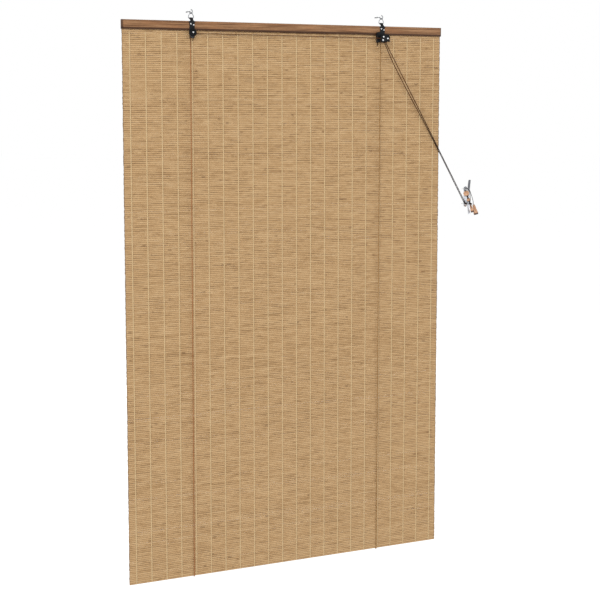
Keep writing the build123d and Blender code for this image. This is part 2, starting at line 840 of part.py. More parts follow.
def tassel(name, top, way, length, width):
    """A hollow bell of turned wood on the end of a cord; way points up its axis."""
    bore = tail_cord / 2 + hole_clearance
    wall = 1.5
    with BuildPart() as bell:
        with BuildSketch(turning_plane(top, way)):
            with BuildLine():
                Line((bore, 0), (width * 0.2, 0))
                Spline(
                    (width * 0.2, 0),
                    (width * 0.3, -length * 0.16),
                    (width * 0.38, -length * 0.5),
                    (width * 0.5, -length * 0.86),
                    (width * 0.47, -length),
                )
                Polyline(
                    (width * 0.47, -length),
                    (width * 0.47 - wall, -length),
                    (width * 0.38 - wall, -length * 0.6),
                    (bore, -length * 0.42),
                    (bore, 0),
                )
            make_face()
        revolve(axis=Axis(top, way))
    finish(bell, name)


big_top = Vector(*by_cleat(14.1, -28.0, -23.7))
big_way = Vector(-8.3, 4.0, 31.8).normalized()
small_top = Vector(*by_cleat(-2.3, -36.4, -22.4))
small_way = Vector(-7.1, 2.0, 24.3).normalized()
tassel("big_tassel", big_top, big_way, big_tassel_length, big_tassel_width)
tassel("small_tassel", small_top, small_way, small_tassel_length, small_tassel_width)

# --- tail cords from the ball to the tassels ---
tail_pair = bead_bore / 2 - tail_cord / 2 - bead_clearance
tail_start = ball_centre + thread_way * (ball_radius * 0.6)
tail_side = Vector(thread_way.Z, 0, -thread_way.X) * tail_pair
big_tail = [
    tuple(tail_start + tail_side),
    by_cleat(-17.6, -30.4, 24.4),
    by_cleat(-10.6, -32.6, 27.2),
    by_cleat(-3.4, -34.0, 21.2),
    by_cleat(1.0, -34.8, 9.0),
    by_cleat(6.4, -33.6, -4.0),
    by_cleat(11.6, -30.4, -14.6),
    tuple(big_top + big_way * 4.0),
    tuple(big_top - big_way * big_tassel_length * 0.4),
]
small_tail = [
    tuple(tail_start - tail_side),
    by_cleat(-20.6, -31.0, 25.6),
    by_cleat(-14.8, -35.4, 29.6),
    by_cleat(-7.4, -38.6, 21.0),
    by_cleat(-5.0, -39.6, 8.4),
    by_cleat(-4.6, -39.4, -4.0),
    by_cleat(-4.0, -38.0, -14.4),
    tuple(small_top + small_way * 4.0),
    tuple(small_top - small_way * small_tassel_length * 0.4),
]
cord_tube("big_tail_cord", big_tail, tail_cord, radii(big_tail))
cord_tube("small_tail_cord", small_tail, tail_cord, radii(small_tail))
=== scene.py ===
import bpy
import bmesh
import math
from mathutils import Matrix, Vector


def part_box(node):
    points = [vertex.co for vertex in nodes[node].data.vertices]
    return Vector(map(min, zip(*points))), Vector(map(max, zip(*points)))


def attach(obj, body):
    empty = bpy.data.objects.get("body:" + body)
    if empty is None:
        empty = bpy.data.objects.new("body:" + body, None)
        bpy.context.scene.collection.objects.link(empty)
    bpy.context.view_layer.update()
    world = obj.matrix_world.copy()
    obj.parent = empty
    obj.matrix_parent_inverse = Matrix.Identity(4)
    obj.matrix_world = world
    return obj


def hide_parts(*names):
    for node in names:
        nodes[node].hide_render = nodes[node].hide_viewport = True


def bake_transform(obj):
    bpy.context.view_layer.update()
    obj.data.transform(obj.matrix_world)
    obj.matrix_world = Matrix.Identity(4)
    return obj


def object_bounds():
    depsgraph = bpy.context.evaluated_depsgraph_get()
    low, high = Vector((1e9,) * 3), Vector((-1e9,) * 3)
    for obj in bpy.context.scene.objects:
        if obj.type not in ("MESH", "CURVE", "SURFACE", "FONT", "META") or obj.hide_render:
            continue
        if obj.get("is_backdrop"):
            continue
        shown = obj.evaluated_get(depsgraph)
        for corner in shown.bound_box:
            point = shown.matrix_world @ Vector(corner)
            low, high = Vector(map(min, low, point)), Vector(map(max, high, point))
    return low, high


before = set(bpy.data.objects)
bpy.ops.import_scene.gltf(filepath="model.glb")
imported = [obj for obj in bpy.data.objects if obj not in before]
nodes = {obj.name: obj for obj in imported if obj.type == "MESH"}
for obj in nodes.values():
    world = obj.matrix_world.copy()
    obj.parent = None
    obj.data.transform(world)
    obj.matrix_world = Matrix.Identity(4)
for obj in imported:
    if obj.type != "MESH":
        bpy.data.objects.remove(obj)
cadLow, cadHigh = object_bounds()
collection = bpy.context.scene.collection
mm = 0.001
print("frame loaded:", len(nodes), "nodes")


# a socket that takes part in plain Python sums; each sum adds one Math node
class Wire:
    def __init__(self, tree, socket):
        self.tree = tree
        self.socket = socket

    def sum(self, operation, first, second=0.0):
        return self.tree.node("ShaderNodeMath", {"operation": operation}, {0: first, 1: second})

    def __add__(self, other):
        return self.sum("ADD", self, other)

    def __radd__(self, other):
        return self.sum("ADD", other, self)

    def __sub__(self, other):
        return self.sum("SUBTRACT", self, other)

    def __rsub__(self, other):
        return self.sum("SUBTRACT", other, self)

    def __mul__(self, other):
        return self.sum("MULTIPLY", self, other)

    def __rmul__(self, other):
        return self.sum("MULTIPLY", other, self)

    def __truediv__(self, other):
        return self.sum("DIVIDE", self, other)

    def __rtruediv__(self, other):
        return self.sum("DIVIDE", other, self)

    def __pow__(self, other):
        return self.sum("POWER", self, other)

    def __gt__(self, other):
        return self.sum("GREATER_THAN", self, other)

    def __lt__(self, other):
        return self.sum("LESS_THAN", self, other)

    def __mod__(self, other):
        return self.sum("FLOORED_MODULO", self, other)

    def __abs__(self):
        return self.sum("ABSOLUTE", self)


class Tree:
    def __init__(self, tree):
        self.tree = tree

    def pick(self, sockets, key):
        if isinstance(key, int):
            return sockets[key]
        return next(socket for socket in sockets if socket.name == key and socket.enabled)

    # one node of any type: its settings first, then the values or links of its sockets
    def node(self, kind, settings=None, values=None, out=0):
        made = self.tree.nodes.new(kind)
        for name, value in (settings or {}).items():
            if name == "stops":
                self.setStops(made.color_ramp, value)
            else:
                setattr(made, name, value)
        for key, value in (values or {}).items():
            socket = self.pick(made.inputs, key)
            if isinstance(value, Wire):
                self.tree.links.new(value.socket, socket)
            else:
                socket.default_value = value
        return Wire(self, self.pick(made.outputs, out)) if len(made.outputs) else made

    def setStops(self, ramp, stops):
        while len(ramp.elements) > 1:
            ramp.elements.remove(ramp.elements[-1])
        ramp.elements[0].position, ramp.elements[0].color = stops[0]
        for place, colour in stops[1:]:
            ramp.elements.new(place).color = colour

    def join(self, x=0.0, y=0.0, z=0.0):
        return self.node("ShaderNodeCombineXYZ", None, {0: x, 1: y, 2: z})

    def part(self, vector, axis):
        return self.node("ShaderNodeSeparateXYZ", None, {0: vector}, axis)

    def sign(self, value):
        return self.node("ShaderNodeMath", {"operation": "SIGN"}, {0: value})

    def sine(self, value):
        return self.node("ShaderNodeMath", {"operation": "SINE"}, {0: value})

    # moves a value from one range to another and holds it there
    def fit(self, value, low, high, newLow=0.0, newHigh=1.0):
        values = {0: value, 1: low, 2: high, 3: newLow, 4: newHigh}
        return self.node("ShaderNodeMapRange", {"clamp": True}, values)


def paint(red, green, blue):
    def linear(part):
        part = part / 255
        return part / 12.92 if part < 0.04045 else ((part + 0.055) / 1.055) ** 2.4

    return (linear(red), linear(green), linear(blue), 1.0)


class Finish(Tree):
    def __init__(self, name, still=None):
        self.material = bpy.data.materials.new(name)
        self.material.use_nodes = True
        super().__init__(self.material.node_tree)
        self.shader = self.tree.nodes["Principled BSDF"]
        for key, value in (still or {}).items():
            self.shader.inputs[key].default_value = value

    def place(self):
        return self.node("ShaderNodeTexCoord", None, None, "Object")

    def stretch(self, vector, scale, place=(0.0, 0.0, 0.0), turn=(0.0, 0.0, 0.0)):
        values = {"Vector": vector, "Location": place, "Rotation": turn, "Scale": scale}
        return self.node("ShaderNodeMapping", None, values)

    def noise(self, vector, scale=1.0, detail=3.0, rough=0.55):
        values = {"Vector": vector, "Scale": scale, "Detail": detail, "Roughness": rough}
        return self.node("ShaderNodeTexNoise", None, values)

    def mix(self, share, first, second):
        settings = {"data_type": "RGBA", "clamp_factor": True}
        return self.node("ShaderNodeMix", settings, {0: share, 6: first, 7: second}, 2)

    def ramp(self, value, stops):
        return self.node("ShaderNodeValToRGB", {"stops": stops}, {0: value})

    def own(self, name):
        return self.node("ShaderNodeAttribute", {"attribute_name": name}, None, "Fac")

    def bump(self, height, strength, depth):
        normal = self.node("ShaderNodeBump", None, {"Strength": strength, "Distance": depth, "Height": height})
        self.feed("Normal", normal)

    def feed(self, name, value):
        self.tree.links.new(value.socket, self.shader.inputs[name])


def dress(piece, finish, body=None):
    piece.data.materials.clear()
    piece.data.materials.append(finish.material)
    if body:
        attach(piece, body)


# camera, light and floor
cameraSet = {
    "place": (-1.5094, -3.5110, -0.2661),
    "down": 6.092,
    "turn": 23.844,
    "lens": 78.15,
    "shift": -0.09,
    "near": 0.05,
}
camera = bpy.data.objects.new("viewCamera", bpy.data.cameras.new("viewCamera"))
collection.objects.link(camera)
camera.location = cameraSet["place"]
camera.rotation_euler = (math.radians(90 - cameraSet["down"]), 0, math.radians(-cameraSet["turn"]))
camera.data.lens = cameraSet["lens"]
camera.data.shift_y = cameraSet["shift"]
camera.data.clip_start = cameraSet["near"]
bpy.context.scene.camera = camera
bpy.context.scene.view_settings.view_transform = "Standard"

lightSet = {
    "keyLight": {"place": (-2.6, -3.4, 1.5), "aim": (0.0, 0.0, -0.8), "size": 2.6, "power": 75},
    "fillLight": {"place": (3.0, -2.8, 0.3), "aim": (0.0, 0.0, -0.8), "size": 2.4, "power": 24},
    "rearLight": {"place": (0.8, 3.6, 1.4), "aim": (0.0, 0.0, -0.8), "size": 2.6, "power": 60},
    "sky": 0.62,
}


def makeLight(name, facts):
    light = bpy.data.objects.new(name, bpy.data.lights.new(name, "AREA"))
    collection.objects.link(light)
    light.data.shape = "DISK"
    light.data.size = facts["size"]
    light.data.energy = facts["power"]
    light.location = facts["place"]
    way = Vector(facts["aim"]) - Vector(facts["place"])
    light.rotation_euler = way.to_track_quat("-Z", "Y").to_euler()


for name in ("keyLight", "fillLight", "rearLight"):
    makeLight(name, lightSet[name])

world = bpy.data.worlds.new("paleSky")
world.use_nodes = True
bpy.context.scene.world = world
sky = Tree(world.node_tree)
background = world.node_tree.nodes["Background"]
background.inputs["Color"].default_value = (1.0, 1.0, 1.0, 1.0)
seen = sky.node("ShaderNodeLightPath", None, None, "Is Camera Ray")
strength = seen * (1.0 - lightSet["sky"]) + lightSet["sky"]
world.node_tree.links.new(strength.socket, background.inputs["Strength"])

floorSet = {"height": -1.82, "radius": 40.0, "sides": 96, "paint": (0.8, 0.8, 0.8, 1.0), "glow": 0.5}
floorMesh = bpy.data.meshes.new("paleFloor")
paleFloor = bpy.data.objects.new("paleFloor", floorMesh)
collection.objects.link(paleFloor)
disc = bmesh.new()
bmesh.ops.create_circle(disc, cap_ends=True, segments=floorSet["sides"], radius=floorSet["radius"])
bmesh.ops.translate(disc, verts=disc.verts, vec=(0, 0, floorSet["height"]))
disc.to_mesh(floorMesh)
disc.free()
floorStill = {
    "Base Color": floorSet["paint"],
    "Roughness": 0.9,
    "Specular IOR Level": 0.1,
    "Emission Color": (1.0, 1.0, 1.0, 1.0),
    "Emission Strength": floorSet["glow"],
}
floorFinish = Finish("floorPaint", floorStill)
floorMesh.materials.append(floorFinish.material)
paleFloor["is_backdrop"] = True
print("camera, light and floor done")


# one Geometry Nodes group and what is needed to fill it
class Growth(Tree):
    def __init__(self, name, inputs):
        group = bpy.data.node_groups.new(name, "GeometryNodeTree")
        super().__init__(group)
        group.interface.new_socket(name="Geometry", in_out="OUTPUT", socket_type="NodeSocketGeometry")
        self.keys = {}
        for label, (kind, value) in inputs.items():
            socket = group.interface.new_socket(name=label, in_out="INPUT", socket_type=kind)
            self.keys[label] = (socket.identifier, value)
        self.start = group.nodes.new("NodeGroupInput")
        self.end = group.nodes.new("NodeGroupOutput")

    def given(self, label):
        return Wire(self, next(socket for socket in self.start.outputs if socket.name == label))

    def chance(self, low, high, seed):
        values = {"Min": low, "Max": high, "Seed": seed}
        return self.node("FunctionNodeRandomValue", {"data_type": "FLOAT"}, values, "Value")

    def straight(self, start, end):
        return self.node("GeometryNodeCurvePrimitiveLine", None, {"Start": start, "End": end})

    def resample(self, line, count):
        return self.node("GeometryNodeResampleCurve", None, {"Curve": line, "Count": count})

    # a round bar along a line, with closed ends
    def sweep(self, line, sides, radius):
        ring = self.node("GeometryNodeCurvePrimitiveCircle", None, {"Resolution": sides, "Radius": radius})
        values = {"Curve": line, "Profile Curve": ring, "Fill Caps": True}
        return self.node("GeometryNodeCurveToMesh", None, values)

    # points in a row, to put a shape on
    def row(self, count, start, step):
        values = {"Count": count, "Start Location": start, "Offset": step}
        return self.node("GeometryNodeMeshLine", None, values)

    def repeat(self, shape, points, **more):
        values = {"Points": points, "Instance": shape, **more}
        return self.node("GeometryNodeInstanceOnPoints", None, values)

    def keep(self, geometry, label, value, domain):
        return self.node(
            "GeometryNodeStoreNamedAttribute",
            {"data_type": "FLOAT", "domain": domain},
            {"Geometry": geometry, "Name": label, "Value": value},
        )

    def finishWith(self, geometry):
        solid = self.node("GeometryNodeRealizeInstances", None, {"Geometry": geometry})
        values = {"Geometry": solid, "Material": self.given("Finish")}
        painted = self.node("GeometryNodeSetMaterial", None, values)
        self.tree.links.new(painted.socket, self.end.inputs[0])


# runs a tree on an empty mesh and keeps the plain result
def grow(name, growth, finish, changes=None, cutter=None):
    piece = bpy.data.objects.new(name, bpy.data.meshes.new(name))
    collection.objects.link(piece)
    modifier = piece.modifiers.new("grow", "NODES")
    modifier.node_group = growth.tree
    for label, (key, value) in growth.keys.items():
        value = (changes or {}).get(label, value)
        modifier[key] = finish.material if label == "Finish" else value
    if cutter:
        cut = piece.modifiers.new("cut", "BOOLEAN")
        cut.operation = "DIFFERENCE"
        cut.solver = "MANIFOLD"
        cut.object = cutter
    depsgraph = bpy.context.evaluated_depsgraph_get()
    depsgraph.update()
    grown = piece.evaluated_get(depsgraph)
    mesh = bpy.data.meshes.new_from_object(grown, preserve_all_data_layers=True, depsgraph=depsgraph)
    piece.modifiers.clear()
    empty = piece.data
    piece.data = mesh
    mesh.name = name
    bpy.data.meshes.remove(empty)
    print(name, len(mesh.polygons), "faces")
    return piece


# the sizes that pieces share, in metres
blind = {
    "width": 1.0,
    "drop": 1.6,
    "rows": 296,
    "warps": 22,
    "railTop": -27.5 * mm,
    "railHeight": 26.0 * mm,
    "matDepth": -18.0 * mm,
    "matThick": 2.2 * mm,
    "leftX": -298.5 * mm,
    "rightX": 298.5 * mm,
    "cleatX": 606.5 * mm,
    "cleatZ": -544.5 * mm,
}
railBottom = blind["railTop"] - blind["railHeight"]
matFront = blind["matDepth"] - blind["matThick"] / 2
matBack = blind["matDepth"] + blind["matThick"] / 2
cordWidth = 2.2 * mm
cordRadius = cordWidth / 2
rowPitch = blind["drop"] / blind["rows"]
warpPitch = blind["width"] / blind["warps"]

# split bamboo and its threads
slatFinishSet = {
    "light": paint(206, 174, 130),
    "mid": paint(185, 150, 106),
    "dark": paint(153, 118, 76),
    "node": paint(92, 62, 36),
    # painted shade for the slat edges, which also darkens the cut ends
    "edge": paint(90, 61, 34),
    # how close the marks lie along a slat, from slat to slat, and by the slat's tone
    "streak": (26.0, 9.0, 1.0),
    "dash": (34.0, 61.0, 7.0),
    "split": (17.0, 47.0, 3.0),
    "fibre": (26.0, 900.0, 2600.0),
    # bands, in metres from a slat's end and from a warp's middle; the second band is the painted shadow beside
    # each warp
    "cutEnd": (3.4 * mm, 1.6 * mm),
    "threadShadow": (1.4 * mm, 3.4 * mm),
}


def bambooFinish():
    facts = slatFinishSet
    finish = Finish("splitBamboo", {"Specular IOR Level": 0.35})
    place = finish.place()
    x, y, z = (finish.part(place, axis) for axis in range(3))
    row = finish.own("slatRow")
    tone = finish.own("slatTone")
    across = finish.own("slatAcross")
    own = finish.join(x, row * 0.37, tone * 5.0)
    # soft streaks that each slat has for itself
    streak = finish.noise(finish.stretch(own, facts["streak"]), 1.0, 4.0, 0.7)
    share = finish.fit(tone * 0.1 + streak * 0.95, 0.22, 0.84)
    colour = finish.ramp(share, [(0.0, facts["dark"]), (0.45, facts["mid"]), (1.0, facts["light"])])
    # broad clouds, because one cut of bamboo gives neighbouring slats
    cloud = finish.noise(finish.join(x * 2.2, 0.0, z * 5.0), 1.0, 2.0, 0.5)
    colour = finish.mix(finish.fit(cloud, 0.35, 0.7, 0.0, 0.05), colour, facts["dark"])
    # short dark dashes at the joints of the cane, and longer splits along one edge
    dash = finish.noise(finish.stretch(own, facts["dash"], (3.1, 0.0, 0.0)), 1.0, 1.5, 0.5)
    joint = finish.fit(dash, 0.7, 0.75)
    split = finish.noise(finish.stretch(own, facts["split"], (8.3, 0.0, 0.0)), 1.0, 2.0, 0.5)
    crack = finish.fit(split, 0.56, 0.61) * finish.fit(across, -0.35, -0.6)
    colour = finish.mix(joint * 0.4 + crack * 0.72, colour, facts["node"])
    # fine fibres along the slat
    along, deep, high = facts["fibre"]
    fibre = finish.noise(finish.join(x * along, y * deep, z * high), 1.0, 2.0, 0.6)
    colour = finish.mix(finish.fit(fibre, 0.38, 0.62, 0.22, 0.0), colour, facts["dark"])
    # painted shade along the split edges, where the gaps between slats fall; the cut ends are darker too
    edge = finish.fit(abs(across), 0.66, 1.0)
    endFrom, endTo = facts["cutEnd"]
    end = finish.fit(abs(x), blind["width"] / 2 - endFrom, blind["width"] / 2 - endTo)
    edge = edge * finish.fit(split, 0.36, 0.6, 0.5, 0.95)
    colour = finish.mix(edge + end * 0.75, colour, facts["edge"])
    # painted shadow on one side of each warp thread, in the joints' dark colour
    lane = (x + blind["width"] / 2) % warpPitch - warpPitch / 2
    shadowFrom, shadowTo = facts["threadShadow"]
    threadShadow = (lane > shadowFrom) * (lane < shadowTo)
    colour = finish.mix(threadShadow * 0.2, colour, facts["node"])
    finish.feed("Base Color", colour)
    finish.feed("Roughness", finish.fit(fibre + joint * 0.2, 0.3, 0.8, 0.55, 0.78))
    finish.bump(fibre * 0.6 + streak * 0.4 + joint * 0.5, 0.45, 0.0004)
    return finish


threadSet = {"light": paint(230, 204, 160), "dark": paint(188, 158, 114), "twistX": 6400.0, "twistZ": 5200.0}


def threadFinish():
    finish = Finish("cottonThread", {"Specular IOR Level": 0.2, "Sheen Weight": 0.15})
    place = finish.place()
    x = finish.part(place, 0)
    z = finish.part(place, 2)
    twist = finish.sine(z * threadSet["twistZ"] + x * threadSet["twistX"])
    fuzz = finish.noise(place, 900.0, 3.0)
    soil = finish.noise(finish.join(x * 3.0, 0.0, z * 6.0), 2.0, 3.0)
    share = finish.fit(twist * 0.25 + fuzz, 0.2, 0.9)
    colour = finish.mix(share, threadSet["dark"], threadSet["light"])
    colour = finish.mix(finish.fit(soil, 0.4, 0.8, 0.0, 0.35), colour, threadSet["dark"])
    finish.feed("Base Color", colour)
    finish.feed("Roughness", finish.fit(fuzz, 0.2, 0.8, 0.75, 0.95))
    finish.bump(twist * 0.5 + fuzz, 0.5, 0.0002)
    return finish


bamboo = bambooFinish()
cotton = threadFinish()

# the mat: split bamboo slats on warp threads
slatSet = {
    "Rows": ("NodeSocketInt", blind["rows"]),
    "Row pitch": ("NodeSocketFloat", rowPitch),
    "Top": ("NodeSocketFloat", blind["railTop"]),
    "Depth": ("NodeSocketFloat", blind["matDepth"]),
    "Slat length": ("NodeSocketFloat", 0.9988),
    "Slat width": ("NodeSocketFloat", 5.42 * mm),
    "Slat thickness": ("NodeSocketFloat", 1.28 * mm),
    "Sections": ("NodeSocketInt", 34),
    "Squareness": ("NodeSocketFloat", 0.62),
    "Waviness": ("NodeSocketFloat", 0.1 * mm),
    "Seed": ("NodeSocketInt", 11),
    "Finish": ("NodeSocketMaterial", None),
}


def slatGrowth():
    grown = Growth("slatRows", slatSet)
    names = ("Slat length", "Slat width", "Slat thickness", "Row pitch", "Seed", "Squareness")
    length, width, thick, pitch, seed, power = (grown.given(name) for name in names)
    line = grown.straight(grown.join(length * -0.5), grown.join(length * 0.5))
    bar = grown.sweep(grown.resample(line, grown.given("Sections")), 8, 1.0)
    place = grown.node("GeometryNodeInputPosition")
    y, z = grown.part(place, 1), grown.part(place, 2)
    bar = grown.keep(bar, "slatAcross", z, "POINT")
    flat = grown.join(
        grown.part(place, 0),
        grown.sign(y) * abs(y) ** power * thick * 0.5,
        grown.sign(z) * abs(z) ** power * width * 0.5,
    )
    bar = grown.node("GeometryNodeSetPosition", None, {"Geometry": bar, "Position": flat})
    highest = grown.join(0.0, grown.given("Depth"), grown.given("Top") - pitch * 0.5)
    rows = grown.row(grown.given("Rows"), highest, grown.join(0.0, 0.0, pitch * -1.0))
    # no two slats have quite the same length, thickness, width, lean and place
    size = grown.join(
        grown.chance(0.9985, 1.0, seed),
        grown.chance(0.86, 1.06, seed + 1),
        grown.chance(0.99, 1.01, seed + 2),
    )
    lean = grown.join(grown.chance(-0.03, 0.03, seed + 3), 0.0, 0.0)
    slats = grown.repeat(bar, rows, Scale=size, Rotation=lean)
    shift = grown.join(grown.chance(-0.0004, 0.0004, seed + 4), 0.0, 0.0)
    slats = grown.node("GeometryNodeTranslateInstances", None, {"Instances": slats, "Translation": shift})
    slats = grown.keep(slats, "slatRow", grown.node("GeometryNodeInputIndex"), "INSTANCE")
    slats = grown.keep(slats, "slatTone", grown.chance(0.0, 1.0, seed + 5), "INSTANCE")
    solid = grown.node("GeometryNodeRealizeInstances", None, {"Geometry": slats})
    row = grown.node("GeometryNodeInputNamedAttribute", {"data_type": "FLOAT"}, {"Name": "slatRow"})
    x = grown.part(place, 0)
    wander = {"Scale": 1.0, "Detail": 1.0}
    bendAt, swellAt = grown.join(x * 5.0, row * 2.3, 0.5), grown.join(x * 9.0, row * 3.1, 7.5)
    bend = grown.node("ShaderNodeTexNoise", None, {"Vector": bendAt, **wander})
    swell = grown.node("ShaderNodeTexNoise", None, {"Vector": swellAt, **wander})
    wave = grown.given("Waviness")
    offset = grown.join(0.0, (swell - 0.5) * wave, (bend - 0.5) * wave)
    solid = grown.node("GeometryNodeSetPosition", None, {"Geometry": solid, "Offset": offset})
    grown.finishWith(solid)
    return grown


holeSet = {
    "screwRadius": 1.3 * mm,
    "depth": 5 * mm,
    "bracketSpots": ((-3.7, -7.7), (4.7, -11.0)),
    "clampShares": (-0.45, -0.15, 0.15, 0.45),
    "slot": (2.5 * mm, 2.5 * mm, 3.8 * mm),  # its width, half its depth, and its height
    "slots": ((blind["leftX"] + 4.0 * mm, -81.6 * mm), (blind["rightX"] - 13.5 * mm, -86.2 * mm)),
}


# what is cut out of the slats: screw holes behind the rail and the two gaps that the cords pass through
def slatCutter():
    spots = []
    for x in (blind["leftX"], blind["rightX"]):
        spots += [(x + a * mm, blind["railTop"] + b * mm) for a, b in holeSet["bracketSpots"]]
    railMiddle = (blind["railTop"] + railBottom) / 2
    spots += [(share * blind["width"], railMiddle) for share in holeSet["clampShares"]]
    radius, depth = holeSet["screwRadius"], holeSet["depth"]
    made = bmesh.new()
    turn = Matrix.Rotation(math.pi / 2, 4, "X")
    for x, z in spots:
        place = Matrix.Translation((x, blind["matDepth"], z)) @ turn
        bmesh.ops.create_cone(
            made, cap_ends=True, segments=12, radius1=radius, radius2=radius, depth=depth, matrix=place
        )
    wide, deep, high = holeSet["slot"]
    size = Matrix.Diagonal((wide / 2, deep, high / 2, 1))
    for x, z in holeSet["slots"]:
        place = Matrix.Translation((x, blind["matDepth"], z)) @ size @ turn
        bmesh.ops.create_cone(made, cap_ends=True, segments=12, radius1=1, radius2=1, depth=2, matrix=place)
    bmesh.ops.recalc_face_normals(made, faces=made.faces)
    cutter = bpy.data.objects.new("slatCutter", bpy.data.meshes.new("slatCutter"))
    collection.objects.link(cutter)
    made.to_mesh(cutter.data)
    made.free()
    return cutter


# the corners that the cut made take the facts of the slat they lie on
def mendRows(piece):
    row, tone, across = (piece.data.attributes[name].data for name in ("slatRow", "slatTone", "slatAcross"))
    tones = {round(row[index].value): fact.value for index, fact in enumerate(tone) if fact.value > 0}
    pitch, squareness = slatSet["Row pitch"][1], slatSet["Squareness"][1]
    for index, vertex in enumerate(piece.data.vertices):
        if tone[index].value == 0:
            far = (blind["railTop"] - vertex.co.z) / pitch
            off = 1 - 2 * (far % 1)
            row[index].value = math.floor(far)
            tone[index].value = tones[math.floor(far)]
            across[index].value = math.copysign(abs(off) ** (1 / squareness), off)


cutter = slatCutter()
slats = grow("bambooSlats", slatGrowth(), bamboo, None, cutter)
mendRows(slats)
bpy.data.objects.remove(cutter)
dress(slats, bamboo, "blind")
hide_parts("bamboo_mat")

warpSet = {
    "Rows": ("NodeSocketInt", 290),
    "Row pitch": ("NodeSocketFloat", rowPitch),
    "Bottom": ("NodeSocketFloat", blind["railTop"] - blind["drop"]),
    "Depth": ("NodeSocketFloat", blind["matDepth"]),
    "Over slat": ("NodeSocketFloat", -0.86 * mm),
    "In gap": ("NodeSocketFloat", -0.42 * mm),
    "Sway": ("NodeSocketFloat", 0.16 * mm),
    "Warps": ("NodeSocketInt", blind["warps"]),
    "Warp pitch": ("NodeSocketFloat", warpPitch),
    "Aside": ("NodeSocketFloat", 0.0),
    "Strand width": ("NodeSocketFloat", 1.5 * mm),
    "Flatness": ("NodeSocketFloat", 3.2),
    "Finish": ("NodeSocketMaterial", None),
}


def warpGrowth():
    grown = Growth("warpThreads", warpSet)
    rows, pitch, flat = grown.given("Rows"), grown.given("Row pitch"), grown.given("Flatness")
    line = grown.straight(grown.join(), grown.join(0.0, 0.0, rows * pitch))
    line = grown.resample(line, rows * 2 + 1)
    index = grown.node("GeometryNodeInputIndex")
    onSlat = index % 2.0
    swing = grown.sine(index * (math.pi / 2)) * grown.given("Sway")
    deep = grown.given("In gap") + (grown.given("Over slat") - grown.given("In gap")) * onSlat
    offset = grown.join(swing, deep * flat, 0.0)
    line = grown.node("GeometryNodeSetPosition", None, {"Geometry": line, "Offset": offset})
    # the strand is swept round and wide, then pressed flat
    strand = grown.sweep(line, 6, grown.given("Strand width") * 0.5)
    press = grown.join(1.0, 1.0 / flat, 1.0)
    strand = grown.node("GeometryNodeTransform", None, {"Geometry": strand, "Scale": press})
    count, step = grown.given("Warps"), grown.given("Warp pitch")
    first = (count - 1) * step * -0.5 + grown.given("Aside")
    lowest = grown.join(first, grown.given("Depth"), grown.given("Bottom"))
    places = grown.row(count, lowest, grown.join(step, 0.0, 0.0))
    grown.finishWith(grown.repeat(strand, places))
    return grown


warps = warpGrowth()
for name, changes in (
    ("leftFrontStrands", {"Aside": -0.74 * mm}),
    ("rightFrontStrands", {"Aside": 0.74 * mm, "Sway": -0.16 * mm}),
    ("backStrands", {"Over slat": 0.86 * mm, "In gap": 0.42 * mm}),
):
    strands = grow(name, warps, cotton, changes)
    dress(strands, cotton, "blind")
print("mat done")

# cords: one smooth spline each, and a round braided tube along it
cordFinishSet = {
    "lift": {"light": paint(177, 119, 75), "dark": paint(115, 71, 43), "turns": 4, "lay": 3.2 * mm},
    "rightLift": {"light": paint(170, 127, 76), "dark": paint(110, 79, 45), "turns": 4, "lay": 3.2 * mm},
    "pull": {"light": paint(84, 42, 22), "dark": paint(30, 13, 6), "turns": 4, "lay": 3.2 * mm},
    "tail": {"light": paint(42, 24, 14), "dark": paint(16, 9, 5), "turns": 3, "lay": 2.8 * mm},
    "grime": paint(16, 11, 8),
    # where a change starts and ends, and how strong it gets
    # the painted shade on the cord under the rail
    "railShade": (-0.11, -0.08, 0.75),
    "handled": (0.38, 0.5, 0.8),
}


def cordFinish(name, kind):
    facts = cordFinishSet[kind]
    turns, lay = facts["turns"], facts["lay"]
    finish = Finish(name, {"Specular IOR Level": 0.08})
    lane = finish.node("ShaderNodeUVMap", {"uv_map": "UVMap"})
    around, along = finish.part(lane, 0), finish.part(lane, 1)
    # two sets of plaits that cross, as in a braided cover
    wind, rise = around * (2 * math.pi * turns), along * (2 * math.pi / lay)
    one, other = finish.sine(wind + rise), finish.sine(wind - rise)
    plait = finish.node("ShaderNodeMath", {"operation": "MAXIMUM"}, {0: one, 1: other})
    fuzz = finish.noise(finish.place(), 1400.0, 2.0)
    patch = finish.noise(finish.join(along * 30.0, around, 0.0), 1.0, 2.0)
    share = finish.fit(plait * 0.3 + fuzz * 0.5 + patch * 0.5, 0.1, 0.95)
    colour = finish.mix(share, facts["dark"], facts["light"])
    # painted shade on the cord up under the rail
    low, high, most = cordFinishSet["railShade"]
    railShade = finish.fit(finish.part(finish.place(), 2), low, high, 0.0, most)
    colour = finish.mix(railShade, colour, cordFinishSet["pull"]["dark"])
    # hands have darkened the cord towards the cleat
    low, high, most = cordFinishSet["handled"]
    handled = finish.fit(finish.part(finish.place(), 0), low, high, 0.0, most)
    finish.feed("Base Color", finish.mix(handled, colour, cordFinishSet["grime"]))
    finish.feed("Roughness", finish.fit(fuzz, 0.2, 0.8, 0.62, 0.85))
    finish.bump(plait + fuzz * 0.4, 0.7, 0.0003)
    return finish


liftFinish = cordFinish("liftCordBraid", "lift")
rightLiftFinish = cordFinish("rightLiftCordBraid", "rightLift")
pullFinish = cordFinish("pullCordBraid", "pull")
tailFinish = cordFinish("tailCordBraid", "tail")


leastStep = 0.15 * mm  # points of a line that lie closer than this are dropped


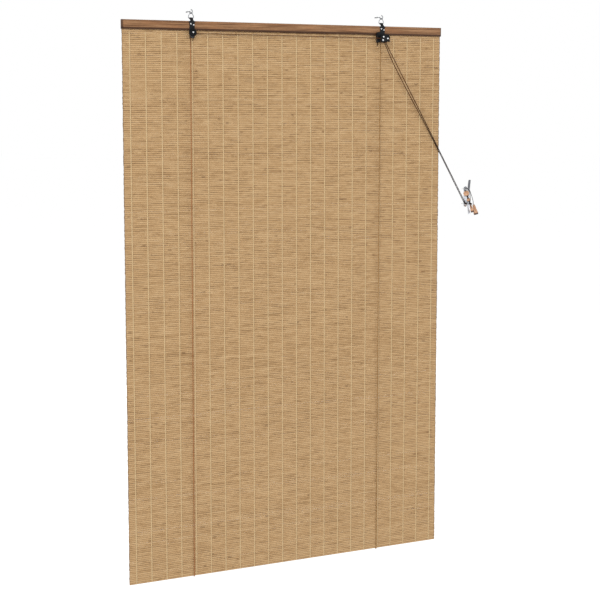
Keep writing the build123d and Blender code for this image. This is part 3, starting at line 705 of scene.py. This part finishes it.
# the smooth line that a NURBS spline makes of the route's points
def smoothLine(points, fineness):
    curve = bpy.data.curves.new("route", "CURVE")
    curve.dimensions = "3D"
    spline = curve.splines.new("NURBS")
    spline.points.add(len(points) - 1)
    for spot, place in zip(spline.points, points):
        spot.co = (*place, 1.0)
    spline.order_u = 3
    spline.use_endpoint_u = True
    spline.resolution_u = fineness
    holder = bpy.data.objects.new("route", curve)
    collection.objects.link(holder)
    bpy.context.view_layer.update()
    mesh = bpy.data.meshes.new_from_object(holder)
    line = [vertex.co.copy() for vertex in mesh.vertices]
    bpy.data.objects.remove(holder)
    bpy.data.curves.remove(curve)
    bpy.data.meshes.remove(mesh)
    kept = [line[0]]
    for place in line[1:]:
        if (place - kept[-1]).length > leastStep:
            kept.append(place)
    return kept


# a closed tube with frames that don't twist, and a UV of turns around and metres along
def tubeAlong(name, line, width, sides=10, ripple=0.0, lobes=0, lay=1.0):
    made = bmesh.new()
    lanes = made.loops.layers.uv.new("UVMap")
    way = (line[1] - line[0]).normalized()
    across = way.orthogonal().normalized()
    rings, far = [], 0.0
    for index, place in enumerate(line):
        before = line[max(index - 1, 0)]
        after = line[min(index + 1, len(line) - 1)]
        newWay = (after - before).normalized()
        across = (way.rotation_difference(newWay) @ across).normalized()
        way = newWay
        far += (place - before).length
        other = way.cross(across)
        ring = []
        for side in range(sides):
            angle = 2 * math.pi * side / sides
            turned = angle + 2 * math.pi * far / lay if lobes else angle
            reach = width / 2 * (1 - ripple + ripple * math.cos(lobes * angle))
            ring.append(made.verts.new(place + (across * math.cos(turned) + other * math.sin(turned)) * reach))
        rings.append((ring, far))
    for (first, near), (second, later) in zip(rings, rings[1:]):
        for side in range(sides):
            beside = (side + 1) % sides
            face = made.faces.new((first[side], first[beside], second[beside], second[side]))
            face.smooth = True
            corners = ((side, near), (side + 1, near), (side + 1, later), (side, later))
            for loop, lane in zip(face.loops, corners):
                loop[lanes].uv = (lane[0] / sides, lane[1])
    made.faces.new(list(reversed(rings[0][0])))
    made.faces.new(rings[-1][0])
    bmesh.ops.recalc_face_normals(made, faces=made.faces)
    piece = bpy.data.objects.new(name, bpy.data.meshes.new(name))
    collection.objects.link(piece)
    made.to_mesh(piece.data)
    made.free()
    return piece


def lineLength(line):
    return sum((b - a).length for a, b in zip(line, line[1:]))


pulley = {
    "pitch": 5.2 * mm,
    "rearDepth": -29.1 * mm,
    "frontDepth": -33.2 * mm,
    "leftAxle": (blind["leftX"] - 0.6 * mm, blind["railTop"] - 40.4 * mm),
    "rightAxle": (blind["rightX"] - 2.8 * mm, blind["railTop"] - 40.9 * mm),
    "tautAngle": 31.3,
    "slackAngle": 24.0,
    "near": 13.0 * mm,
}
liftSet = {
    "backDepth": matBack + 0.5 * mm + cordRadius,
    "frontDepth": matFront - 0.5 * mm - cordRadius,
    "under": blind["railTop"] - blind["drop"] - 1.1 * mm - cordRadius,
    "tabDepth": (matFront - 25.7 * mm) / 2,
    "edgeRun": 14.0 * mm,
}


# a point on the cord that leaves the right wheels, at an angle from straight down
def offWheel(angle, depth, distance):
    turn = math.radians(angle)
    axleX, axleZ = pulley["rightAxle"]
    x = axleX + pulley["pitch"] * math.cos(turn) + distance * math.sin(turn)
    z = axleZ + pulley["pitch"] * math.sin(turn) - distance * math.cos(turn)
    return (x, depth, z)


# where the cord's two straight runs over a right wheel would meet
def wheelCorner(angle):
    return pulley["rightAxle"][0] + pulley["pitch"] * math.tan(math.radians(90 - angle) / 2)


# from the knot on the tab, through the mat, down behind it, round its bottom edge and up to the wheel
def liftRoute(endX, startZ, passZ, downX, upX, wheelTop):
    back, front, under, run = liftSet["backDepth"], liftSet["frontDepth"], liftSet["under"], liftSet["edgeRun"]
    rear = pulley["rearDepth"]
    slope = (rear - front) / (wheelTop - under)
    lean = (upX - downX) / (wheelTop - under)
    fall = (downX - endX) / (under - passZ)
    return [
        (endX, liftSet["tabDepth"], startZ),
        (endX, liftSet["tabDepth"], passZ),
        (endX, back, passZ),
        (endX + fall * -run, back, passZ - run),
        (downX - fall * run, back, under + run),
        (downX, back, under),
        (downX, front, under),
        (downX + lean * run, front + slope * run, under + run),
        (upX - lean * run, rear - slope * run, wheelTop - run),
        (upX, rear, wheelTop),
    ]


near = pulley["near"]
leftTop = pulley["leftAxle"][1] + pulley["pitch"]
rightTop = pulley["rightAxle"][1] + pulley["pitch"]
tautCorner = wheelCorner(pulley["tautAngle"])
slackCorner = wheelCorner(pulley["slackAngle"])
leftUp = pulley["leftAxle"][0] - pulley["pitch"]
rightUp = pulley["rightAxle"][0] - pulley["pitch"]
frontWheel = pulley["frontDepth"]
rearWheel = pulley["rearDepth"]
crossing = Vector((tautCorner - leftUp, frontWheel - rearWheel, rightTop - leftTop))
stepAcross = crossing.normalized() * near
leftEnd = blind["leftX"] + 4.0 * mm
rightEnd = blind["rightX"] - 13.5 * mm
leftRoute = liftRoute(leftEnd, -73.5 * mm, -81.1 * mm, leftUp + 0.5 * mm, leftUp, leftTop) + [
    tuple(Vector((leftUp, rearWheel, leftTop)) + stepAcross),
    tuple(Vector((tautCorner, frontWheel, rightTop)) - stepAcross),
    (tautCorner, frontWheel, rightTop),
    offWheel(pulley["tautAngle"], frontWheel, near * 0.8),
    offWheel(pulley["tautAngle"], frontWheel, near),
]
rightRoute = liftRoute(rightEnd, -74.5 * mm, -85.7 * mm, rightUp + 1.5 * mm, rightUp, rightTop) + [
    (slackCorner, rearWheel, rightTop),
    offWheel(pulley["slackAngle"], rearWheel, near * 0.8),
    offWheel(pulley["slackAngle"], rearWheel, near),
]
liftCords = (
    ("leftLiftCord", leftRoute, liftFinish, "left_lift_cord"),
    ("rightLiftCord", rightRoute, rightLiftFinish, "right_lift_cord"),
)
for name, route, finish, node in liftCords:
    line = smoothLine(route, 40)
    piece = tubeAlong(name, line, cordWidth)
    dress(piece, finish, "blind")
    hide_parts(node)
    print(name, "length", round(lineLength(line), 3))


# a point from the cleat's middle: out along X, its depth, and its height, in millimetres
def byCleat(out, depth, rise):
    return Vector((blind["cleatX"] + out * mm, depth * mm, blind["cleatZ"] + rise * mm))


turnedSet = {
    "beadCentre": byCleat(-5.0, -30.2, -8.6),
    "ballCentre": byCleat(-13.4, -30.2, 11.5),
    "beadRadius": 6.2 * mm,
    "ballRadius": 9.3 * mm,
    "bigTop": byCleat(14.1, -28.0, -23.7),
    "bigWay": Vector((-8.3, 4.0, 31.8)).normalized(),
    "bigLength": 32.0 * mm,
    "smallTop": byCleat(-2.3, -36.4, -22.4),
    "smallWay": Vector((-7.1, 2.0, 24.3)).normalized(),
    "smallLength": 25.0 * mm,
    "tailWidth": 1.8 * mm,
}
threadWay = (turnedSet["ballCentre"] - turnedSet["beadCentre"]).normalized()
threadSide = Vector((threadWay.z, 0, -threadWay.x))
pair = cordRadius + 0.12 * mm
beadMouth = turnedSet["beadCentre"] - threadWay * (turnedSet["beadRadius"] + 1.2 * mm)
pullEnd = turnedSet["ballCentre"] - threadWay * turnedSet["ballRadius"] * 0.6
pullCorner = byCleat(-12.5, 0, -14.0)
tautExit = Vector(offWheel(pulley["tautAngle"], frontWheel, near))
edgeShare = (blind["width"] / 2 - tautExit.x) / (pullCorner.x - tautExit.x)
edgeDepth = matFront - cordRadius - 1.2 * mm


# a point of the way from the lock to the cleat, by its share of the way to the mat's side edge
def onTheWay(share, depth, aside):
    far = share * edgeShare
    return (
        tautExit.x + (pullCorner.x - tautExit.x) * far + aside,
        depth,
        tautExit.z + (pullCorner.z - tautExit.z) * far,
    )


pairMm = pair / mm
tautPull = [
    offWheel(pulley["tautAngle"], frontWheel, near + 0.3 * mm),
    onTheWay(1, edgeDepth, pair),
    byCleat(-18.6 + pairMm, -15.4, -3.9 + pairMm),
    byCleat(-12.5 + pairMm, -15.0, -14.0 + pairMm),
    byCleat(-6.0, -8.8, -21.5 + pairMm),
    byCleat(6.5, -8.8, -23.0 + pairMm),
    byCleat(12.8, -15.0, -22.6 + pairMm),
    byCleat(11.0, -25.0, -22.2 + pairMm),
    byCleat(3.4, -30.0, -21.0 + pairMm),
    beadMouth + threadSide * pair,
    pullEnd + threadSide * pair,
]
slackPull = [
    offWheel(pulley["slackAngle"], rearWheel, near + 0.3 * mm),
    onTheWay(0.13, -28.6 * mm, -7.2 * mm),
    onTheWay(0.27, -27.6 * mm, -7.8 * mm),
    onTheWay(0.46, -26.4 * mm, -7.0 * mm),
    onTheWay(0.65, -25.4 * mm, -4.8 * mm),
    onTheWay(0.82, -24.0 * mm, -2.8 * mm),
    onTheWay(1, edgeDepth, -1.9 * mm),
    byCleat(-18.6 - pairMm, -15.4, -3.9 - pairMm),
    byCleat(-12.5 - pairMm, -15.0, -14.0 - pairMm),
    byCleat(-6.0, -8.8, -21.5 - pairMm),
    byCleat(6.5, -8.8, -23.0 - pairMm),
    byCleat(12.8, -15.0, -22.6 - pairMm),
    byCleat(11.0, -25.0, -22.2 - pairMm),
    byCleat(1.4, -30.0, -21.0 - pairMm),
    beadMouth - threadSide * pair,
    pullEnd - threadSide * pair,
]
pullCords = (("tautPullCord", tautPull, "taut_pull_cord"), ("slackPullCord", slackPull, "slack_pull_cord"))
for name, route, node in pullCords:
    line = smoothLine(route, 40)
    piece = tubeAlong(name, line, cordWidth)
    dress(piece, pullFinish)
    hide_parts(node)
    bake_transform(piece)
    print(name, "length", round(lineLength(line), 3))

tailPair = 1.42 * mm
tailStart = turnedSet["ballCentre"] + threadWay * turnedSet["ballRadius"] * 0.6
bigTail = [
    tailStart + threadSide * tailPair,
    byCleat(-17.6, -30.4, 24.4),
    byCleat(-10.6, -32.6, 27.2),
    byCleat(-3.4, -34.0, 21.2),
    byCleat(1.0, -34.8, 9.0),
    byCleat(6.4, -33.6, -4.0),
    byCleat(11.6, -30.4, -14.6),
    turnedSet["bigTop"] + turnedSet["bigWay"] * 4.0 * mm,
    turnedSet["bigTop"] - turnedSet["bigWay"] * turnedSet["bigLength"] * 0.4,
]
smallTail = [
    tailStart - threadSide * tailPair,
    byCleat(-20.6, -31.0, 25.6),
    byCleat(-14.8, -35.4, 29.6),
    byCleat(-7.4, -38.6, 21.0),
    byCleat(-5.0, -39.6, 8.4),
    byCleat(-4.6, -39.4, -4.0),
    byCleat(-4.0, -38.0, -14.4),
    turnedSet["smallTop"] + turnedSet["smallWay"] * 4.0 * mm,
    turnedSet["smallTop"] - turnedSet["smallWay"] * turnedSet["smallLength"] * 0.4,
]
for name, route, node, end in (
    ("bigTailCord", bigTail, "big_tail_cord", "big_tassel"),
    ("smallTailCord", smallTail, "small_tail_cord", "small_tassel"),
):
    line = smoothLine(route, 16)
    piece = tubeAlong(name, line, turnedSet["tailWidth"], 12, ripple=0.1, lobes=3, lay=6.0 * mm)
    dress(piece, tailFinish, "wall_fixings")
    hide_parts(node)
    length = lineLength(line)
    print(name, "length", round(length, 4))


# overhand knots on the bracket tabs
knotSet = {"size": 0.86 * mm, "cord": 1.9 * mm, "rise": 1.9 * mm, "steps": 90, "tight": 0.62, "deep": 1.1}


def overhandKnot(name, finish, node):
    low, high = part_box(node)
    centre = (low + high) / 2
    centre.z = low.z + knotSet["rise"]
    line = []
    steps = knotSet["steps"]
    for step in range(steps):
        turn = 2 * math.pi * step / steps
        x = math.sin(turn) + 2 * math.sin(2 * turn)
        y = math.cos(turn) - 2 * math.cos(2 * turn)
        z = -math.sin(3 * turn)
        way = Vector((x, y, z * knotSet["deep"]))
        line.append(centre + way * knotSet["size"] * knotSet["tight"])
    made = tubeAlong(name, line + [line[0]], knotSet["cord"])
    dress(made, finish, "blind")
    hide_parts(node)


overhandKnot("leftEndKnot", liftFinish, "left_knot")
overhandKnot("rightEndKnot", rightLiftFinish, "right_knot")
print("cords done")


# rail wood
railSet = {
    "light": paint(160, 121, 86),
    "dark": paint(80, 50, 29),
    "mid": paint(132, 94, 62),
    "warm": paint(174, 116, 74),
    # the colour of the painted shade on the rail
    "foot": paint(54, 28, 11),
    # bands of painted shade, in metres from the lower edge and from the ends
    "lowShadeBand": (4.4 * mm, 6.8 * mm),
    "endShadeBand": (4.6 * mm, 2.6 * mm),
}


def railFinish():
    finish = Finish("stainedRailWood", {"Specular IOR Level": 0.25})
    place = finish.place()
    x, y, z = (finish.part(place, axis) for axis in range(3))
    warp = finish.noise(finish.join(x * 3.0, y * 20.0, z * 20.0), 1.0, 2.0)
    figure = finish.noise(finish.join(x * 7.0, y * 160.0, z * 240.0 + warp * 3.0), 1.0, 5.0, 0.6)
    pore = finish.noise(finish.join(x * 60.0, y * 1500.0, z * 1900.0), 1.0, 2.0, 0.6)
    stops = [(0.0, railSet["dark"]), (0.4, railSet["mid"]), (0.75, railSet["light"]), (1.0, railSet["warm"])]
    colour = finish.ramp(finish.fit(figure, 0.3, 0.72), stops)
    glow = finish.noise(finish.join(x * 11.0, 4.0, z * 60.0), 1.0, 2.0)
    colour = finish.mix(finish.fit(glow, 0.5, 0.75, 0.0, 0.4), colour, railSet["warm"])
    colour = finish.mix(finish.fit(pore, 0.3, 0.45, 0.6, 0.0), colour, railSet["dark"])
    # painted shade along the lower rounded edge and on the ends
    lowFrom, lowTo = railSet["lowShadeBand"]
    endFrom, endTo = railSet["endShadeBand"]
    low = finish.fit(z + (warp - 0.5) * 1.2 * mm, railBottom + lowFrom, railBottom + lowTo, 0.9, 0.0)
    side = finish.fit(abs(x), blind["width"] / 2 - endFrom, blind["width"] / 2 - endTo, 0.0, 0.7)
    colour = finish.mix(low + side, colour, railSet["foot"])
    finish.feed("Base Color", colour)
    finish.feed("Roughness", finish.fit(pore, 0.25, 0.7, 0.62, 0.42))
    finish.bump(figure * 0.4 + pore, 0.3, 0.0003)
    return finish


turnedFinishSet = {
    "light": paint(228, 190, 154),
    "mid": paint(200, 150, 112),
    "dark": paint(112, 68, 42),
    # the colour of the painted shade around the bore and on the lower rim
    "bore": paint(42, 21, 10),
    # bands of painted shade, in metres from the axis and from the foot
    "boreBand": (2.2 * mm, 4.2 * mm),
    "rimShadeBand": (4.0 * mm, 7.0 * mm),
}


# turned beech: rings around the turning axis, and grain along it
def turnedFinish(name, centre, way, foot):
    facts = turnedFinishSet
    finish = Finish(name, {"Specular IOR Level": 0.5, "Coat Weight": 0.25, "Coat Roughness": 0.25})
    turn = way.rotation_difference(Vector((0, 0, 1))).to_euler()
    spot = -(way.rotation_difference(Vector((0, 0, 1))) @ centre)
    place = finish.stretch(finish.place(), (1.0, 1.0, 1.0), tuple(spot), tuple(turn))
    x, y, z = (finish.part(place, axis) for axis in range(3))
    grain = finish.noise(finish.join(x * 700.0, y * 260.0, z * 60.0), 1.0, 4.0, 0.6)
    fleck = finish.noise(finish.join(x * 2600.0, y * 2600.0, z * 420.0), 1.0, 2.0)
    ring = finish.sine(z * 9000.0)
    stops = [(0.0, facts["dark"]), (0.45, facts["mid"]), (1.0, facts["light"])]
    colour = finish.ramp(finish.fit(grain, 0.32, 0.68), stops)
    colour = finish.mix(finish.fit(fleck, 0.3, 0.42, 0.4, 0.0), colour, facts["dark"])
    # painted shade around the bore and along the lower rim
    fromAxis = (x * x + y * y) ** 0.5
    boreFrom, boreTo = facts["boreBand"]
    rimFrom, rimTo = facts["rimShadeBand"]
    bore = finish.fit(fromAxis, boreFrom, boreTo, 0.9, 0.0)
    rimShade = finish.fit(z + fleck * 0.6 * mm, foot + rimFrom, foot + rimTo, 0.94, 0.0)
    colour = finish.mix(bore + rimShade, colour, facts["bore"])
    finish.feed("Base Color", colour)
    finish.feed("Roughness", finish.fit(fleck, 0.3, 0.7, 0.42, 0.3))
    finish.bump(ring * 0.25 + fleck, 0.18, 0.0002)
    return finish


rail = railFinish()
for name in ("front_batten", "back_batten"):
    dress(nodes[name], rail)
for name, centre, way, foot in (
    ("lower_bead", turnedSet["beadCentre"], threadWay, -turnedSet["beadRadius"]),
    ("upper_ball", turnedSet["ballCentre"], threadWay, -turnedSet["ballRadius"]),
    ("big_tassel", turnedSet["bigTop"], turnedSet["bigWay"], -turnedSet["bigLength"]),
    ("small_tassel", turnedSet["smallTop"], turnedSet["smallWay"], -turnedSet["smallLength"]),
):
    dress(nodes[name], turnedFinish(name + "Wood", centre, way, foot))
print("wood done")


# metal and nylon
blackSet = {"dark": paint(8, 8, 9), "light": paint(20, 21, 24), "worn": paint(92, 94, 100)}


def blackFinish():
    finish = Finish("blackenedSteel", {"Specular IOR Level": 0.12})
    place = finish.place()
    grit = finish.noise(place, 1800.0, 3.0)
    haze = finish.noise(place, 160.0, 3.0)
    worn = finish.node("ShaderNodeNewGeometry", None, None, "Pointiness")
    colour = finish.mix(finish.fit(haze, 0.35, 0.7), blackSet["dark"], blackSet["light"])
    colour = finish.mix(finish.fit(worn, 0.56, 0.7, 0.0, 0.22), colour, blackSet["worn"])
    finish.feed("Base Color", colour)
    finish.feed("Roughness", finish.fit(haze + grit * 0.3, 0.4, 0.9, 0.36, 0.56))
    finish.bump(grit, 0.2, 0.0002)
    return finish


# bright metals: two tones, two roughnesses, how fine the haze is, and how fine the brushing is each way
metalFinishSet = {
    "brightPlatedSteel": {
        "tones": (paint(216, 217, 218), paint(250, 250, 248)),
        "rough": (0.22, 0.4),
        "haze": 500.0,
        "brushed": (900.0, 900.0, 2600.0),
    },
    "zincedWire": {
        "tones": (paint(118, 121, 126), paint(182, 184, 186)),
        "rough": (0.24, 0.46),
        "haze": 420.0,
        "brushed": (1500.0, 600.0, 1500.0),
    },
    "polishedZinc": {
        "tones": (paint(172, 174, 180), paint(214, 216, 220)),
        "rough": (0.2, 0.36),
        "haze": 200.0,
        "brushed": (1800.0, 1800.0, 120.0),
    },
}


def metalFinish(name):
    facts = metalFinishSet[name]
    finish = Finish(name, {"Metallic": 1.0, "Specular IOR Level": 0.5})
    place = finish.place()
    haze = finish.noise(place, facts["haze"], 4.0)
    scratch = finish.noise(finish.stretch(place, facts["brushed"]), 1.0, 3.0)
    colour = finish.mix(finish.fit(haze * 0.6 + scratch * 0.4, 0.3, 0.7), *facts["tones"])
    finish.feed("Base Color", colour)
    finish.feed("Roughness", finish.fit(scratch * 0.5 + haze * 0.5, 0.3, 0.7, *facts["rough"]))
    finish.bump(scratch, 0.12, 0.0002)
    return finish


nylonSet = {"dark": paint(22, 22, 24), "light": paint(40, 40, 43)}


def nylonFinish():
    finish = Finish("wheelNylon", {"Specular IOR Level": 0.5})
    place = finish.place()
    cloud = finish.noise(place, 300.0, 3.0)
    grain = finish.noise(place, 2400.0, 2.0)
    colour = finish.mix(finish.fit(cloud, 0.3, 0.7), nylonSet["dark"], nylonSet["light"])
    finish.feed("Base Color", colour)
    finish.feed("Roughness", finish.fit(grain, 0.3, 0.7, 0.36, 0.52))
    finish.bump(grain, 0.15, 0.0002)
    return finish


blackSteel = blackFinish()
brightSteel = metalFinish("brightPlatedSteel")
hookSteel = metalFinish("zincedWire")
cleatMetal = metalFinish("polishedZinc")
nylon = nylonFinish()

# painted reflection: the cleat is painted darker towards the upper horn, and its base and lower horn keep the
# bright tone
heightShadeSet = {"tone": paint(96, 97, 101), "low": 12 * mm, "high": 30 * mm, "most": 0.9}
metalTone = Wire(cleatMetal, cleatMetal.shader.inputs["Base Color"].links[0].from_socket)
height = cleatMetal.part(cleatMetal.place(), 2)
heightShadeFrom, heightShadeTo = blind["cleatZ"] + heightShadeSet["low"], blind["cleatZ"] + heightShadeSet["high"]
heightShade = cleatMetal.fit(height, heightShadeFrom, heightShadeTo, 0.0, heightShadeSet["most"])
cleatMetal.feed("Base Color", cleatMetal.mix(heightShade, metalTone, heightShadeSet["tone"]))

metalSet = {
    "black_steel": (
        blackSteel,
        ("left_bracket", "right_bracket", "left_cheek", "right_cheek", "left_axle", "lock_pawl"),
    ),
    "bright_steel": (
        brightSteel,
        (
            "left_rivet",
            "right_rivet",
            "right_axle",
            "pawl_pin",
            "left_bracket_screws",
            "right_bracket_screws",
            "batten_screws",
            "cleat_screws",
        ),
    ),
    "hook_steel": (hookSteel, ("left_hook", "right_hook", "left_ring", "right_ring")),
    "cleat_metal": (cleatMetal, ("cleat",)),
    "wheel_nylon": (nylon, ("left_wheel", "right_rear_wheel", "right_front_wheel")),
}
for slot, (finish, names) in metalSet.items():
    for name in names:
        dress(nodes[name], finish)

# screw threads on the hook shanks and the cleat's screws
threadSizes = {
    "Turns": ("NodeSocketFloat", 17.0),
    "Start": ("NodeSocketFloat", 2.0 * mm),
    "Length": ("NodeSocketFloat", 20.4 * mm),
    "Radius": ("NodeSocketFloat", 1.4 * mm),
    "Ridge": ("NodeSocketFloat", 0.34 * mm),
    "First": ("NodeSocketVector", (blind["leftX"], 0.0, 0.0)),
    "Step": ("NodeSocketVector", (blind["rightX"] - blind["leftX"], 0.0, 0.0)),
    "Finish": ("NodeSocketMaterial", None),
}


def threadGrowth():
    grown = Growth("screwThreads", threadSizes)
    spiral = grown.node(
        "GeometryNodeCurveSpiral",
        None,
        {
            "Resolution": 20,
            "Rotations": grown.given("Turns"),
            "Start Radius": grown.given("Radius"),
            "End Radius": grown.given("Radius"),
            "Height": grown.given("Length"),
        },
    )
    coil = grown.sweep(spiral, 4, grown.given("Ridge"))
    start = grown.join(0.0, grown.given("Start"), 0.0)
    into = {"Geometry": coil, "Rotation": (-math.pi / 2, 0.0, 0.0), "Translation": start}
    coil = grown.node("GeometryNodeTransform", None, into)
    spots = grown.row(2, grown.given("First"), grown.given("Step"))
    grown.finishWith(grown.repeat(coil, spots))
    return grown


threads = threadGrowth()
hookThreads = grow("hookThreads", threads, hookSteel)
dress(hookThreads, hookSteel, "wall_fixings")
cleatThreadSizes = {
    "Turns": 15.0,
    "Start": 0.8 * mm,
    "Length": 17.0 * mm,
    "Radius": 1.5 * mm,
    "First": (blind["cleatX"], 0.0, blind["cleatZ"] - 23 * mm),
    "Step": (0.0, 0.0, 46 * mm),
}
screwThreads = grow("cleatScrewThreads", threads, brightSteel, cleatThreadSizes)
dress(screwThreads, brightSteel, "wall_fixings")
print("metal done")

low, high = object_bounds()
for name, (least, most) in (("cad", (cadLow, cadHigh)), ("visual", (low, high))):
    print(name, "size", [round(b - a, 4) for a, b in zip(least, most)])
